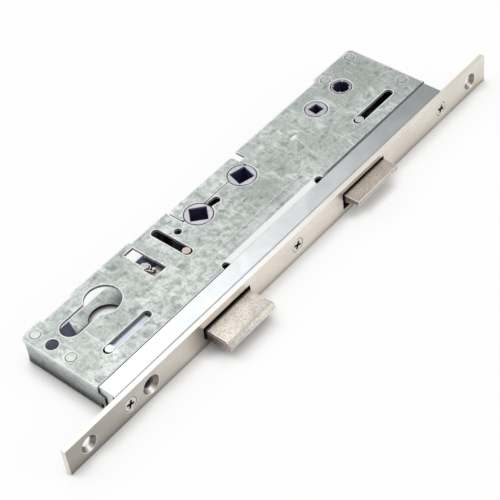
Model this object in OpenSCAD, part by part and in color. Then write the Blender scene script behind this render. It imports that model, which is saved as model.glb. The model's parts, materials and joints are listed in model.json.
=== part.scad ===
// Mortice gearcase of a multipoint door lock, lying flat with its cover plate up.
// X runs along the lock towards the top of the door, -Y points out of the faceplate,
// and the origin is on the cylinder axis at the outer face of the base plate.

/* [Case] */
// Thickness of the case, outer face to outer face
case_h = 14; // [13:0.5:20]
// Sheet thickness of the base plate and of the cover
sheet_t = 1.5; // [1.2:0.1:2]
// Reach of the case below the cylinder axis
case_below = 36.2; // [36:0.1:45]
// Reach of the case above the auxiliary hub's axis
case_top = 24.6; // [22:0.1:34]
// Distance from the cylinder axis to the back edge of the case
case_back = 13; // [12.6:0.1:15]
// Distance from the cylinder axis to the front edge of the cover
case_front = 31.3; // [30.5:0.1:32]
// How far the cover tabs stand out past its back edge
back_tab = 1; // [0.5:0.1:1.5]
// Radius of the case corners at the back
corner_r = 2; // [0.5:0.1:2.5]
// Outer radius of the sheet's bends
bend_r = 1.2; // [0.5:0.1:1.4]
// Distance from the case's lower end to the through hole beside the cylinder opening
case_hole_inset = 5.5; // [5:0.1:6]
// Radius of that through hole
case_hole_r = 3; // [2.5:0.1:3.2]

/* [Faceplate] */
// Distance from the faceplate's front to the cylinder and spindle axes
backset = 44; // [43.5:0.5:50]
// Width of the faceplate
faceplate_w = 15; // [14.5:0.5:20]
// Thickness of the faceplate
faceplate_t = 2.5; // [2:0.1:3]
// Reach of the faceplate below the cylinder axis
faceplate_below = 67.4; // [60:0.1:80]
// Reach of the faceplate above the cylinder axis
faceplate_above = 221.1; // [215:0.1:240]
// Distance from each end of the faceplate to its fixing hole
end_hole_inset = 12.2; // [8:0.1:16]
// Radius of the fixing holes
end_hole_r = 2.3; // [2:0.1:2.6]
// Radius of the countersink of the fixing holes
end_sink_r = 4.3; // [3.5:0.1:5]
// Spacing of the three screws that hold the faceplate
screw_pitch = 108.1; // [104:0.1:109]
// Place of the middle screw above the cylinder axis
screw_mid_x = 77.2; // [74:0.1:82]
// Radius of the screw heads
screw_head_r = 3.6; // [3.2:0.1:4]
// Radius of the screw shanks
screw_shank_r = 1.9; // [1.5:0.1:2]
// Length of the screws
screw_len = 7.5; // [6:0.5:9]

/* [Cylinder opening] */
// Radius of the round part of the profile cylinder opening
cylinder_r = 8.5; // [8:0.1:9]
// Half width of the straight part of the opening
profile_half_w = 5; // [4.5:0.1:5.5]
// Distance from the cylinder axis to the far end of the opening
profile_reach = 24.5; // [22:0.1:25]
// Distance from the cylinder axis down to its fixing screw
cylinder_screw_x = 18.5; // [17:0.1:22]
// Radius of the clearance hole of the cylinder's screw
cylinder_screw_r = 3; // [2.7:0.1:3.2]
// Radius of that hole's countersink
cylinder_sink_r = 4.9; // [4:0.1:5.2]

/* [Followers] */
// Place of the lower follower above the cylinder axis
lower_follower_x = 62; // [61:0.1:62.5]
// Place of the upper follower above the cylinder axis
upper_follower_x = 92; // [91.5:0.1:93]
// Side of the square spindle holes
spindle_sq = 8; // [7:0.5:8]
// Radius of the bosses that turn in the plates
boss_r = 6.85; // [6.5:0.05:7]
// Radius of the lower follower's disc
lower_disc_r = 9.5; // [8.5:0.1:9.8]
// Radius of the upper follower's disc
upper_disc_r = 10.2; // [9:0.1:10.4]
// Turn of the lower spindle square from the lock's length
lower_square_turn = 47.4; // [0:0.1:89]
// Turn of the upper spindle square from the lock's length
upper_square_turn = 75.3; // [0:0.1:89]
// Length of the lower follower's draw arm
draw_arm_len = 15; // [14.5:0.1:15.5]
// Half width of the draw arm
draw_arm_r = 1.5; // [1.2:0.1:1.6]
// Turn of the lower follower that draws the latch in
draw_turn = 35; // [30:1:36]

/* [Latch] */
// Middle of the latch above the cylinder axis
latch_x = 124.8; // [124:0.1:126]
// Width of the latch head
latch_w = 29; // [26:0.1:29.4]
// How far the latch stands out of the faceplate
latch_out = 8.5; // [7:0.1:8.6]
// Height of the latch head
latch_h = 8.8; // [8:0.1:9]
// Height of the latch head's front edge
latch_lip = 2.4; // [1.5:0.1:3]
// Width of the thin step at the latch's lower end
latch_step = 4.2; // [3:0.1:5]

/* [Deadbolt] */
// Middle of the deadbolt above the cylinder axis
deadbolt_x = 29.5; // [29:0.1:30]
// Width of the deadbolt
deadbolt_w = 29; // [27:0.1:29.2]
// Thickness of the deadbolt
deadbolt_t = 5.4; // [5:0.1:5.5]
// How far the thrown deadbolt stands out of the faceplate
deadbolt_out = 14.4; // [12:0.1:15]
// How far the deadbolt's rounded nose bulges
nose_bulge = 2; // [1:0.1:2.5]
// Place of the deadbolt's guide pin above the cylinder axis
bolt_pin_x = 42.15; // [42:0.05:42.3]
// Distance from the cylinder axis out to the thrown guide pin
bolt_pin_front = 10.4; // [10:0.1:10.8]
// Radius of the guide pin
bolt_pin_r = 1.95; // [1.6:0.05:2]
// Travel of the deadbolt
deadbolt_travel = 15; // [13:0.1:15.5]

/* [Drive slide] */
// Distance from the cylinder axis out to the slide's middle line
slide_y = 21.3; // [21:0.1:21.6]
// Width of the slide
slide_w = 5.8; // [5:0.1:6]
// Thickness of the slide
slide_t = 1.6; // [1.2:0.1:1.7]
// Thickness of the slide's raised leaf under the cover
leaf_t = 1.2; // [1:0.1:1.2]
// Distance from the cylinder axis down to the lower drive pin
lower_pin_x = 18; // [17:0.1:19]
// Place of the upper drive pin above the cylinder axis
upper_pin_x = 152; // [151:0.1:153]
// Radius of the drive pins
drive_pin_r = 2.1; // [1.8:0.05:2.1]
// Travel of the slide
slide_travel = 22.4; // [20:0.1:22.6]
// Spare length of the slots behind the drive pins
slot_spare = 1; // [0.5:0.1:1.5]
// Radius of the pin that the upper follower's fork drives
fork_pin_r = 2; // [1.6:0.05:2.1]

/* [Deadlock slider] */
// Place of the slider's gate above the cylinder axis
gate_x = 33; // [32.8:0.1:33.3]
// Travel of the slider across the deadbolt's stump
gate_travel = 2.5; // [2:0.1:2.6]
// Radius of the stump on the deadbolt's tail
stump_r = 1.4; // [1:0.1:1.5]
// Radius of the studs that guide the slider
stud_r = 1.5; // [1.2:0.1:1.6]

/* [Snib] */
// Place of the snib hub above the cylinder axis
snib_x = 146.3; // [146:0.1:146.8]
// Place of the auxiliary hub above the cylinder axis
aux_x = 165.6; // [165.2:0.1:166]
// Radius of the snib hub's boss
snib_boss_r = 5.45; // [5:0.05:5.6]
// Side of the snib hub's square hole
snib_sq = 5; // [4.5:0.1:5]
// Turn of the snib square from the lock's length
snib_square_turn = 83.4; // [0:0.1:89]
// Radius of the auxiliary hub's boss
aux_boss_r = 5.15; // [4.9:0.05:5.3]
// Radius of the auxiliary hub's toothed hole
aux_hole_r = 4; // [3.5:0.1:4]
// Radius of the circle that the crank pins run on
crank_r = 12.5; // [12.4:0.1:12.7]
// Turn of the two hubs
snib_turn = 45; // [40:1:45]

/* [Springs] */
// Radius of the latch spring's wire
latch_wire_r = 0.4; // [0.3:0.05:0.45]
// Radius of the latch spring's coil to the wire's middle
latch_coil_r = 2.1; // [1.9:0.05:2.1]
// Turns of the latch spring
latch_turns = 11; // [8:1:12]
// Radius of the followers' spring wire
follower_wire_r = 0.3; // [0.2:0.05:0.3]
// Radius of the slider spring's wire
slider_wire_r = 0.4; // [0.3:0.05:0.4]
// Turns of the slider's torsion spring
slider_turns = 3; // [2:1:3]

/* [Fits] */
// Running clearance round a boss in its hole
boss_gap = 0.2; // [0.1:0.05:0.25]
// Clearance round a pin in its slot
slot_gap = 0.15; // [0.1:0.05:0.3]
// Clearance round a fixed pin in its seat
seat_gap = 0.02; // [0.01:0.01:0.05]
// Clearance between sliding pieces that lie on each other
layer_gap = 0.2; // [0.1:0.05:0.3]
// Seam between neighbouring sheets
seam = 0.45; // [0.1:0.05:0.6]
// Seam of the interlocking teeth at the case's lower end
tooth_gap = 0.45; // [0.2:0.05:0.6]
// Gap at the ends of the bolts in their faceplate slots
bolt_side_gap = 0.8; // [0.3:0.1:1]

/* [Hidden] */
$fn = 48;
cut = 0.5;

case_above = aux_x + case_top;
inside_z = sheet_t;
roof_z = case_h - sheet_t;
mid_z = case_h / 2;
front_y = -case_front;
face_y = -backset;
face_back_y = face_y + faceplate_t;
channel_y = front_y - seam;
channel_t = 1.2;
channel_inset = 0.9;

slide_z = inside_z + layer_gap;
lever_z = 4;
bolt_z = slide_z + slide_t + 0.3;
bolt_cover_gap = 0.4;
slider_t = 1.5;
slider_room = 2 * slider_wire_r + 0.4;
bolt_t = min(deadbolt_t, roof_z - bolt_z - bolt_cover_gap - slider_t - slider_room);
upper_z = bolt_z + bolt_t + bolt_cover_gap;
upper_t = 1.6;

// Interlocking tooth between the end walls of case and channel
tooth_reach = 3.2;

deadbolt_back_y = -34;
latch_back_y = -34;
latch_z = 2.3;
slot_above = 1.6;
latch_slot_above = 1;

draw_rest = -draw_turn;
latch_travel = latch_out;
tail_arm_y = -20.5;
tail_arm_w = 5;
draw_gap = 0.4;

fork_half_turn = asin(slide_travel / 2 / norm([slide_travel / 2, slide_y]));
fork_pin_x = upper_follower_x - slide_travel / 2;
fork_gap = 0.5;
fork_wall = 2.2;
fork_len = norm([slide_travel / 2, slide_y]) + fork_pin_r + 0.5;
fork_t = 3.5;

snib_half_turn = snib_turn / 2;
snib_travel = 2 * crank_r * sin(snib_half_turn);
crank_pin_r = 1.1;
snib_bar_y = -12.6;
snib_bar_w = 6;
tooth_h = 0.6;
snib_bar_over = 9;
hub_rim = 0.25;

rib_x0 = 51.5;
rib_x1 = 106;
rib_y = -23.8;
rib_half_w = 2;
rib_h = 0.55;
slider_front_y = -26;
slider_back_y = -3.8;
stump_front_y = -22;
spring_post = [26, -0.3];
spring_post_r = 1.8;
spring_anchor = [20.6, 2.4];
slider_peg = [26.9, -4.75];
slider_coil_r = 2.35;
slider_pitch = 1.25;
slider_coil_z = roof_z - slider_turns * slider_pitch - 2 * slider_wire_r - 0.35;
slider_low_x = 12.6;
slider_high_x = 38.6;
follower_coil_r = boss_r + 0.95;
follower_pitch = 1.05;
follower_turns = 1.5;
bridge_x = 2.4 - lower_pin_x;
leaf_x = 5;
leaf_z = roof_z - layer_gap - leaf_t;

rivet_r = 2.45;
rivet_rim = 0.3;
screw_sink = 0.2;
cover_edge_y = case_back - 0.4;
cover_corner_r = 2.6;
notch_r = 2.1;
back_wall_x0 = 36;
back_wall_x1 = 53.5;
spacer_r = 2.7;
overlay_rivet = [75.2, 7.6];
rivet_low_in = 5.3;
rivet_high_in = 4.9;
rivet_front_in = 4.3;
RIVETS = [
    [rivet_low_in - case_below, 9.9],
    [rivet_low_in - case_below, -11.4],
    [case_above - rivet_high_in, 10],
    [aux_x - 0.3, 9.3],
    [case_above - rivet_front_in, -21],
    overlay_rivet
];
SCREW_X = [for (i = [-1:1]) screw_mid_x + i * screw_pitch];
END_HOLE_X = [end_hole_inset - faceplate_below, faceplate_above - end_hole_inset];
SLIDER_STUDS = [[19, -15], [19, -6.8]];

// Rectangle from one corner to the other
module box2(x0, y0, x1, y1) {
    translate([x0, y0]) square([x1 - x0, y1 - y0]);
}

// Rectangle with four round corners
module round_box2(x0, y0, x1, y1, r) {
    for (x = [x0 + r, x1 - r], y = [y0 + r, y1 - r]) translate([x, y]) circle(r);
    box2(x0 + r, y0, x1 - r, y1);
    box2(x0, y0 + r, x1, y1 - r);
}

// Bar with round ends from point p to point q
module stadium2(p, q, r) {
    run = q - p;
    translate(p) rotate(atan2(run[1], run[0])) {
        circle(r);
        translate([norm(run), 0]) circle(r);
        translate([0, -r]) square([norm(run), 2 * r]);
    }
}

module slab(z0, z1) {
    translate([0, 0, z0]) linear_extrude(z1 - z0) children();
}

module block(x0, y0, z0, x1, y1, z1) {
    translate([x0, y0, z0]) cube([x1 - x0, y1 - y0, z1 - z0]);
}

module post(x, y, z0, z1, r) {
    translate([x, y, z0]) cylinder(r = r, h = z1 - z0);
}

// Round bar along Y, from y0 to y1
module y_rod(x, z, y0, y1, r, r_end) {
    translate([x, y1, z]) rotate([90, 0, 0]) cylinder(r1 = r_end, r2 = r, h = y1 - y0);
}

// Square prism through the case for a spindle
module spindle_hole(x, side, turn) {
    translate([x, 0, -cut]) rotate(turn) translate([-side / 2, -side / 2, 0])
        cube([side, side, case_h + 2 * cut]);
}

// Opening for a profile cylinder
module profile2(grow) {
    half_w = profile_half_w + grow;
    circle(cylinder_r + grow);
    translate([profile_half_w - profile_reach, 0]) circle(half_w);
    box2(profile_half_w - profile_reach, -half_w, 0, half_w);
}

// Slots for the two drive pins
module drive_slots2() {
    for (x = [-lower_pin_x, upper_pin_x])
        stadium2([x - slot_spare, -slide_y], [x + slide_travel + slot_gap, -slide_y], drive_pin_r + slot_gap);
}

// Holes for the four hubs
module hub_holes2() {
    for (x = [lower_follower_x, upper_follower_x]) translate([x, 0]) circle(boss_r + boss_gap);
    translate([snib_x, 0]) circle(snib_boss_r + boss_gap);
    translate([aux_x, 0]) circle(aux_boss_r + boss_gap);
}

// Round through hole beside the cylinder opening
module case_hole2() {
    translate([case_hole_inset - case_below, 0]) circle(case_hole_r);
}

module rivet_holes2(places) {
    for (p = places) translate(p) circle(rivet_r + seat_gap);
}

// Tube swept along points, with rings that face along a coil about Z
module coil_tube(centres, turns, wire_r) {
    sides = 6;
    last = len(centres) - 1;
    rings = [
        for (i = [0:last], k = [0:sides - 1])
            centres[i]
                + wire_r * cos(k * 360 / sides) * [cos(turns[i]), sin(turns[i]), 0]
                + wire_r * sin(k * 360 / sides) * [0, 0, 1]
    ];
    walls = [
        for (i = [0:last - 1], k = [0:sides - 1], side = [0, 1])
            let (a = i * sides + k, b = i * sides + (k + 1) % sides)
                side == 0 ? [a, b, a + sides] : [b, b + sides, a + sides]
    ];
    caps = [
        for (k = [1:sides - 2], end = [0, 1])
            end == 0 ? [0, k + 1, k] : [last * sides, last * sides + k, last * sides + k + 1]
    ];
    polyhedron(points = rings, faces = concat(walls, caps));
}

// Coil about Z with a straight leg at each end, rising by pitch each turn
module coil(coil_r, wire_r, turn_count, pitch, leg_low, leg_high, start) {
    steps = 8;
    count = turn_count * steps;
    curl = [for (i = [0:count]) let (a = start + i * 360 / steps)
        [coil_r * cos(a), coil_r * sin(a), i * pitch / steps]];
    end = start + turn_count * 360;
    first = curl[0] - leg_low * [-sin(start), cos(start), 0];
    final = curl[count] + leg_high * [-sin(end), cos(end), 0];
    centres = concat([first], curl, [final]);
    angles = concat([start], [for (i = [0:count]) start + i * 360 / steps], [end]);
    echo(least_gap = min([for (i = [0:count - steps]) norm(curl[i + steps] - curl[i])]) - 2 * wire_r);
    coil_tube(centres, angles, wire_r);
}

module case_outline2() {
    inner = case_back - corner_r;
    for (x = [corner_r - case_below, case_above - corner_r]) translate([x, inner]) circle(corner_r);
    box2(-case_below, front_y, case_above, inner);
    box2(corner_r - case_below, front_y, case_above - corner_r, case_back);
}

// Tooth of the case's end wall, seen along X
module tooth2(grow) {
    polygon([
        [front_y + cut, mid_z - 2 - grow], [front_y - tooth_reach - grow, mid_z - 3.2 - grow],
        [front_y - tooth_reach - grow, mid_z + 1.8 + grow], [front_y + cut, mid_z + 3 + grow]
    ]);
}

// Extrudes a YZ outline along X
module along_x(x0, x1) {
    translate([x0, 0, 0]) rotate([90, 0, 90]) linear_extrude(x1 - x0) children();
}

// Extrudes an XZ outline along Y
module along_y(y0, y1) {
    translate([0, y1, 0]) rotate([90, 0, 0]) linear_extrude(y1 - y0) children();
}

// What an outer bend leaves free of a square corner at the origin
module bend_corner2() {
    difference() {
        translate([-cut, -cut]) square(bend_r + cut);
        translate([bend_r, bend_r]) circle(bend_r);
    }
}

module case_tray() {
    color("gainsboro") difference() {
        union() {
            slab(0, sheet_t) difference() {
                case_outline2();
                profile2(0);
                hub_holes2();
                rivet_holes2(RIVETS);
                case_hole2();
            }
            for (x = [-case_below, case_above - sheet_t])
                block(x, front_y, sheet_t, x + sheet_t, case_back - corner_r, roof_z);
            along_x(-case_below, sheet_t - case_below) tooth2(0);
            // wall bent up at the back beside the lower follower
            block(back_wall_x0, cover_edge_y - sheet_t, sheet_t, back_wall_x1, cover_edge_y, roof_z);
        }
        along_y(front_y - cut, case_back + cut) {
            translate([-case_below, 0]) bend_corner2();
            translate([case_above, 0]) mirror([1, 0]) bend_corner2();
        }
    }
}

module cover_outline2() {
    difference() {
        intersection() {
            union() {
                round_box2(-case_below, front_y, case_above, cover_edge_y, 0.9);
                for (span = [[0, 12.2], [30, 67.2], [case_below + aux_x - 4, case_below + case_above]])
                    round_box2(span[0] - case_below, front_y + 2, span[1] - case_below, case_back + back_tab, 0.9);
            }
            round_box2(-case_below, front_y - 2 * cover_corner_r, case_above, case_back + back_tab, cover_corner_r);
        }
        for (x = [flap_x0 - 1.5, flap_x1 + 1.5]) translate([x, front_y + 0.6]) circle(notch_r);
    }
}

overlay_x0 = 54.6;
overlay_x1 = 98.2;
overlay_y = 2.1;
overlay_gap_y = 6.7;
overlay_gap_w = 4.1;
flap_x0 = 46.9;
flap_x1 = 108.1;
lug_x = 124.9;
lug_y = -3.4;
flap_w = 3.7;
flap_drop = 0.9;
window_x0 = 22.5;
window_step_x = 23.9;
window_x1 = 29.9;
window_y0 = -9.8;
window_step_y = -2.7;
window_y1 = 10.4;

// Bead pressed up along the front edge, a cap of a thicker round bar
module rib_bead() {
    bead_r = (rib_half_w * rib_half_w + rib_h * rib_h) / (2 * rib_h);
    bead_z = case_h + rib_h - bead_r;
    intersection() {
        union() {
            translate([rib_x0, rib_y, bead_z]) rotate([0, 90, 0]) cylinder(r = bead_r, h = rib_x1 - rib_x0);
            for (x = [rib_x0, rib_x1]) translate([x, rib_y, bead_z]) sphere(bead_r);
        }
        block(rib_x0 - bead_r, rib_y - bead_r, case_h - 0.1, rib_x1 + bead_r, rib_y + bead_r, case_h + 1);
    }
}

module cover_plate() {
    flap_y = front_y + flap_w;
    color("lightgray") difference() {
        union() {
            slab(roof_z, case_h) difference() {
                cover_outline2();
                profile2(0);
                hub_holes2();
                drive_slots2();
                rivet_holes2([for (i = [0:4]) RIVETS[i]]);
                case_hole2();
                // slot of the deadbolt's guide pin
                stadium2([bolt_pin_x, -bolt_pin_front - 0.8],
                    [bolt_pin_x, deadbolt_travel - bolt_pin_front + 3.1], bolt_pin_r + 2 * slot_gap);
                translate([48.5, 0.3]) circle(1.9);
                // stepped window over the deadlock slider
                box2(window_step_x, window_step_y, window_x1 - 0.2, window_y1);
                box2(window_x0, window_y0, window_x1, window_step_y);
                // keyhole slot beside the lower follower
                stadium2([lower_follower_x + boss_r - 1, 0.3], [lower_follower_x + 11.2, -0.6], 1.9);
                translate([lower_follower_x + 11.2, -0.6]) circle(2.1);
                // bay of the overlay plate
                box2(overlay_x0 - seam, overlay_y, overlay_x1 + seam, case_back + cut);
                box2(overlay_x1, overlay_gap_y, overlay_x1 + overlay_gap_w, case_back + cut);
            }
            rib_bead();
            // shallow raised panel in front of the latch
            slab(case_h, case_h + 0.12) box2(114, -30, 140, -22.4);
            // lanced half round lug
            intersection() {
                translate([lug_x, lug_y, case_h]) cylinder(r1 = 2.1, r2 = 0.8, h = 0.7);
                block(lug_x - 3, lug_y - 3, case_h, lug_x + 3, lug_y, case_h + 1);
            }
        }
        // chamfered rims of the rivet holes
        for (i = [0:4]) translate([RIVETS[i][0], RIVETS[i][1], case_h - rivet_rim])
            cylinder(r1 = rivet_r + seat_gap, r2 = rivet_r + seat_gap + rivet_rim + 0.1, h = rivet_rim + 0.1);
        // chamfered rims of the hubs' holes
        for (h = [[lower_follower_x, boss_r], [upper_follower_x, boss_r], [snib_x, snib_boss_r], [aux_x, aux_boss_r]])
            translate([h[0], 0, case_h - hub_rim])
                cylinder(r1 = h[1] + boss_gap, r2 = h[1] + boss_gap + hub_rim + 0.1, h = hub_rim + 0.1);
        // triangle pressed in beside the lug
        slab(case_h - 0.15, case_h + cut)
            polygon([[lug_x, lug_y - 2.2], [lug_x - 1.4, lug_y - 9.2], [lug_x - 8, lug_y - 8.8]]);
        // flap bent down between the two notches
        along_x(flap_x0, flap_x1) polygon([
            [flap_y, case_h], [front_y - cut, case_h - flap_drop],
            [front_y - cut, case_h + cut], [flap_y, case_h + cut]
        ]);
    }
}

module overlay_plate() {
    back_y = case_back - 1.3;
    color("silver") {
        slab(roof_z, case_h) difference() {
            union() {
                round_box2(overlay_x0, overlay_y + seam, overlay_x1, back_y, 1.6);
                box2(lower_follower_x, overlay_y + seam, upper_follower_x, overlay_y + 4);
            }
            for (x = [lower_follower_x, upper_follower_x]) translate([x, 0]) circle(boss_r + boss_gap);
            rivet_holes2([overlay_rivet]);
        }
        // wall bent down at the back
        block(overlay_x0 + 1.8, back_y - 1, sheet_t, overlay_x1 - 1.8, back_y, roof_z);
    }
}

// Outlines of the two bolt slots, seen along Y
module bolt_slots2(grow) {
    round_box2(deadbolt_x - deadbolt_w / 2 - bolt_side_gap - grow, bolt_z - layer_gap - grow,
        deadbolt_x + deadbolt_w / 2 + bolt_side_gap + grow, bolt_z + bolt_t + slot_above + grow, 0.6);
    round_box2(latch_x - latch_w / 2 - bolt_side_gap - grow, latch_z - layer_gap - grow,
        latch_x + latch_w / 2 + bolt_side_gap + grow, latch_z + latch_h + latch_slot_above + grow, 0.6);
}

module front_channel() {
    x0 = channel_inset - case_below;
    x1 = case_above - channel_inset;
    color("whitesmoke") difference() {
        union() {
            block(x0, face_back_y, 0, x1, face_back_y + channel_t, case_h);
            block(x0, face_back_y, 0, x1, channel_y, channel_t);
            block(x0, face_back_y, case_h - channel_t, x1, channel_y, case_h);
            for (x = [x0, x1 - channel_t])
                block(x, face_back_y + channel_t, 0, x + channel_t, channel_y, case_h);
        }
        along_y(face_back_y - cut, face_back_y + channel_t + cut) bolt_slots2(0.3);
        along_x(x0 - cut, x0 + channel_t + cut) tooth2(tooth_gap);
        along_x(x0 - cut, x1 + cut) {
            translate([face_back_y, 0]) bend_corner2();
            translate([face_back_y, case_h]) mirror([0, 1]) bend_corner2();
        }
        // mouth of the channel's lower end, next to the faceplate
        block(x0 - cut, face_back_y - cut, mid_z + 1, x0 + channel_t + cut, face_back_y + 2.4, case_h - channel_t);
        for (x = SCREW_X) y_rod(x, mid_z, face_back_y - cut, channel_y, screw_shank_r + seat_gap, screw_shank_r + seat_gap);
        y_rod(-cylinder_screw_x, mid_z, face_back_y - cut, channel_y, cylinder_screw_r, cylinder_screw_r);
    }
}

// Countersunk hole through the faceplate
module sink_hole(x, r, sink_r) {
    y_rod(x, mid_z, face_y - cut, face_back_y + cut, r, r);
    y_rod(x, mid_z, face_y - 0.01, face_y + sink_r - r, sink_r, r);
}

module faceplate() {
    z0 = mid_z - faceplate_w / 2;
    color("tan") difference() {
        block(-faceplate_below, face_y, z0, faceplate_above, face_back_y, z0 + faceplate_w);
        for (x = END_HOLE_X) sink_hole(x, end_hole_r, end_sink_r);
        for (x = SCREW_X) sink_hole(x, screw_shank_r + seat_gap, screw_head_r + screw_sink + seat_gap);
        sink_hole(-cylinder_screw_x, cylinder_screw_r, cylinder_sink_r);
        along_y(face_y - cut, face_back_y + cut) bolt_slots2(0);
    }
}

module faceplate_screws() {
    recess = 1.1;
    head_y = face_y + screw_sink;
    color("silver") for (x = SCREW_X) difference() {
        union() {
            y_rod(x, mid_z, head_y, head_y + screw_head_r - screw_shank_r, screw_head_r, screw_shank_r);
            y_rod(x, mid_z, head_y, face_y + screw_len, screw_shank_r, screw_shank_r);
        }
        for (turn = [20, 110]) translate([x, head_y, mid_z]) rotate([0, turn, 0])
            block(-2.1, -cut, -0.55, 2.1, recess, 0.55);
    }
}

module spacer_rivets() {
    color("silver") for (p = RIVETS) {
        post(p[0], p[1], 0, case_h, rivet_r);
        post(p[0], p[1], sheet_t, roof_z, spacer_r);
    }
}

// Cradle in the channel that carries a bolt
module bolt_guide(x, w, z, wall) {
    y0 = face_back_y + channel_t;
    color("dimgray") difference() {
        block(x - w / 2 - wall, y0, channel_t, x + w / 2 + wall, channel_y - 1, case_h - channel_t);
        block(x - w / 2 - 0.3, y0 - cut, z - layer_gap, x + w / 2 + 0.3, channel_y, case_h);
    }
}

module deadbolt_guide() {
    bolt_guide(deadbolt_x, deadbolt_w, bolt_z, 2.2);
}

module latch_guide() {
    bolt_guide(latch_x, latch_w, latch_z, 2.2);
}

module slider_studs() {
    color("silver") for (p = SLIDER_STUDS) {
        post(p[0], p[1], upper_z - 1.2, roof_z, stud_r);
        post(p[0], p[1], upper_z - 1.2, upper_z - layer_gap, stud_r + 1.1);
    }
}

module spring_post() {
    color("dimgray") {
        post(spring_post[0], spring_post[1], inside_z, roof_z - 0.4, spring_post_r);
        post(spring_post[0], spring_post[1], inside_z, slider_coil_z, slider_coil_r + slider_wire_r);
        post(spring_anchor[0], spring_anchor[1], inside_z, slider_coil_z + 1, 0.9);
    }
}

module slider_spring() {
    color("khaki") translate([spring_post[0], spring_post[1], slider_coil_z + slider_wire_r])
        coil(slider_coil_r, slider_wire_r, slider_turns, slider_pitch, 5.5, 4.6, 205);
}

latch_spring_y0 = latch_back_y + latch_wire_r + 0.1;
latch_seat_y = -9;
latch_rod_z = latch_z + 3.7;

module latch_spring() {
    run = latch_seat_y - latch_wire_r - 0.1 - latch_spring_y0;
    color("silver") translate([latch_x, latch_spring_y0 + run, latch_rod_z]) rotate([90, 0, 0])
        coil(latch_coil_r, latch_wire_r, latch_turns, run / latch_turns, 0.8, 0.8, 0);
}

module latch_spring_seat() {
    color("silver") difference() {
        block(latch_x - 5, latch_seat_y, inside_z, latch_x + 5, latch_seat_y + sheet_t, upper_z - 0.6);
        y_rod(latch_x, latch_rod_z, latch_seat_y - cut, latch_seat_y + sheet_t + cut, 1.6, 1.6);
    }
}

module follower_coil(x, z) {
    color("silver") translate([x, 0, z + follower_wire_r])
        coil(follower_coil_r, follower_wire_r, follower_turns, follower_pitch, 1.5, 1.5, 90);
}

module lower_follower_spring() {
    follower_coil(lower_follower_x, inside_z + 0.1);
}

module upper_follower_spring() {
    follower_coil(upper_follower_x, roof_z - 2.4);
}

latch_low_x = latch_x - latch_w / 2;
latch_high_x = latch_x + latch_w / 2;
latch_top = latch_z + latch_h;
latch_front_y = face_y - latch_out;

module latch_tail2() {
    hook_x = lower_follower_x + draw_arm_len + 3;
    tab_y = draw_arm_len * sin(draw_rest) + draw_arm_r + draw_gap;
    box2(latch_x - 5.8, latch_back_y - 4, latch_x + 5.8, tail_arm_y + tail_arm_w / 2);
    box2(hook_x, tail_arm_y - tail_arm_w / 2, latch_x + 5.8, tail_arm_y + tail_arm_w / 2);
    box2(hook_x, tail_arm_y, hook_x + 3.5, tab_y + 2);
    box2(hook_x - 4.4, tab_y, hook_x + 3.5, tab_y + 2);
}

LATCH_RIVETS = [for (side = [-1, 1]) [latch_x + side * 3.4, latch_back_y - 2]];

module latch_head() {
    thin_z = latch_top - 4.3;
    color("rosybrown") difference() {
        union() {
            along_x(latch_low_x, latch_high_x) polygon([
                [latch_back_y, latch_top], [latch_front_y, latch_top], [latch_front_y, latch_top - latch_lip],
                [face_y, thin_z], [latch_back_y, thin_z]
            ]);
            along_x(latch_low_x + latch_step, latch_high_x) polygon([
                [latch_back_y, latch_z], [face_y - 0.6, latch_z], [latch_front_y + 0.5, latch_top - latch_lip],
                [latch_back_y, latch_top - latch_lip]
            ]);
        }
        slab(upper_z, latch_top + cut) box2(latch_x - 5.8, latch_back_y - 4, latch_x + 5.8, latch_back_y + cut);
        post(latch_x + 10.2, latch_front_y - 0.1, latch_z, latch_top + cut, 0.8);
        for (p = LATCH_RIVETS) post(p[0], p[1], latch_z - cut, latch_top + cut, 1.2 + seat_gap);
        y_rod(latch_x, latch_rod_z, latch_back_y - 4, latch_back_y + cut, 1.2 + seat_gap, 1.2 + seat_gap);
    }
}

module latch_tail() {
    color("silver") slab(upper_z, upper_z + upper_t) difference() {
        latch_tail2();
        for (p = LATCH_RIVETS) translate(p) circle(1.2 + seat_gap);
    }
}

module latch_rivets() {
    color("silver") for (p = LATCH_RIVETS) post(p[0], p[1], latch_z + 0.3, upper_z + upper_t, 1.2);
}

module latch_spring_rod() {
    color("silver") y_rod(latch_x, latch_rod_z, latch_back_y - 4, -16, 1.2, 1.2);
}

deadbolt_low_x = deadbolt_x - deadbolt_w / 2;
deadbolt_high_x = deadbolt_x + deadbolt_w / 2;
bolt_mid_z = bolt_z + bolt_t / 2;
bolt_tail_z = bolt_mid_z - 1.5;
bolt_tail_t = 2.8;
DEADBOLT_RIVETS = [for (side = [-1, 1]) [deadbolt_x + side * 7.5, deadbolt_back_y - 2.2]];

module bolt_tail2() {
    shoulder_y = -20;
    talon_x = 9.4;
    arm_back_y = 3.3 - bolt_pin_front;
    box2(deadbolt_low_x + 2, deadbolt_back_y - 4, deadbolt_high_x - 2, shoulder_y);
    difference() {
        box2(talon_x, shoulder_y - 0.5, talon_x + 10, -3.4);
        box2(talon_x - cut, shoulder_y + 4, talon_x + 5.6, -7);
    }
    box2(bolt_pin_x - 3.6, shoulder_y - 4, bolt_pin_x + 3.2, arm_back_y);
}

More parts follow.
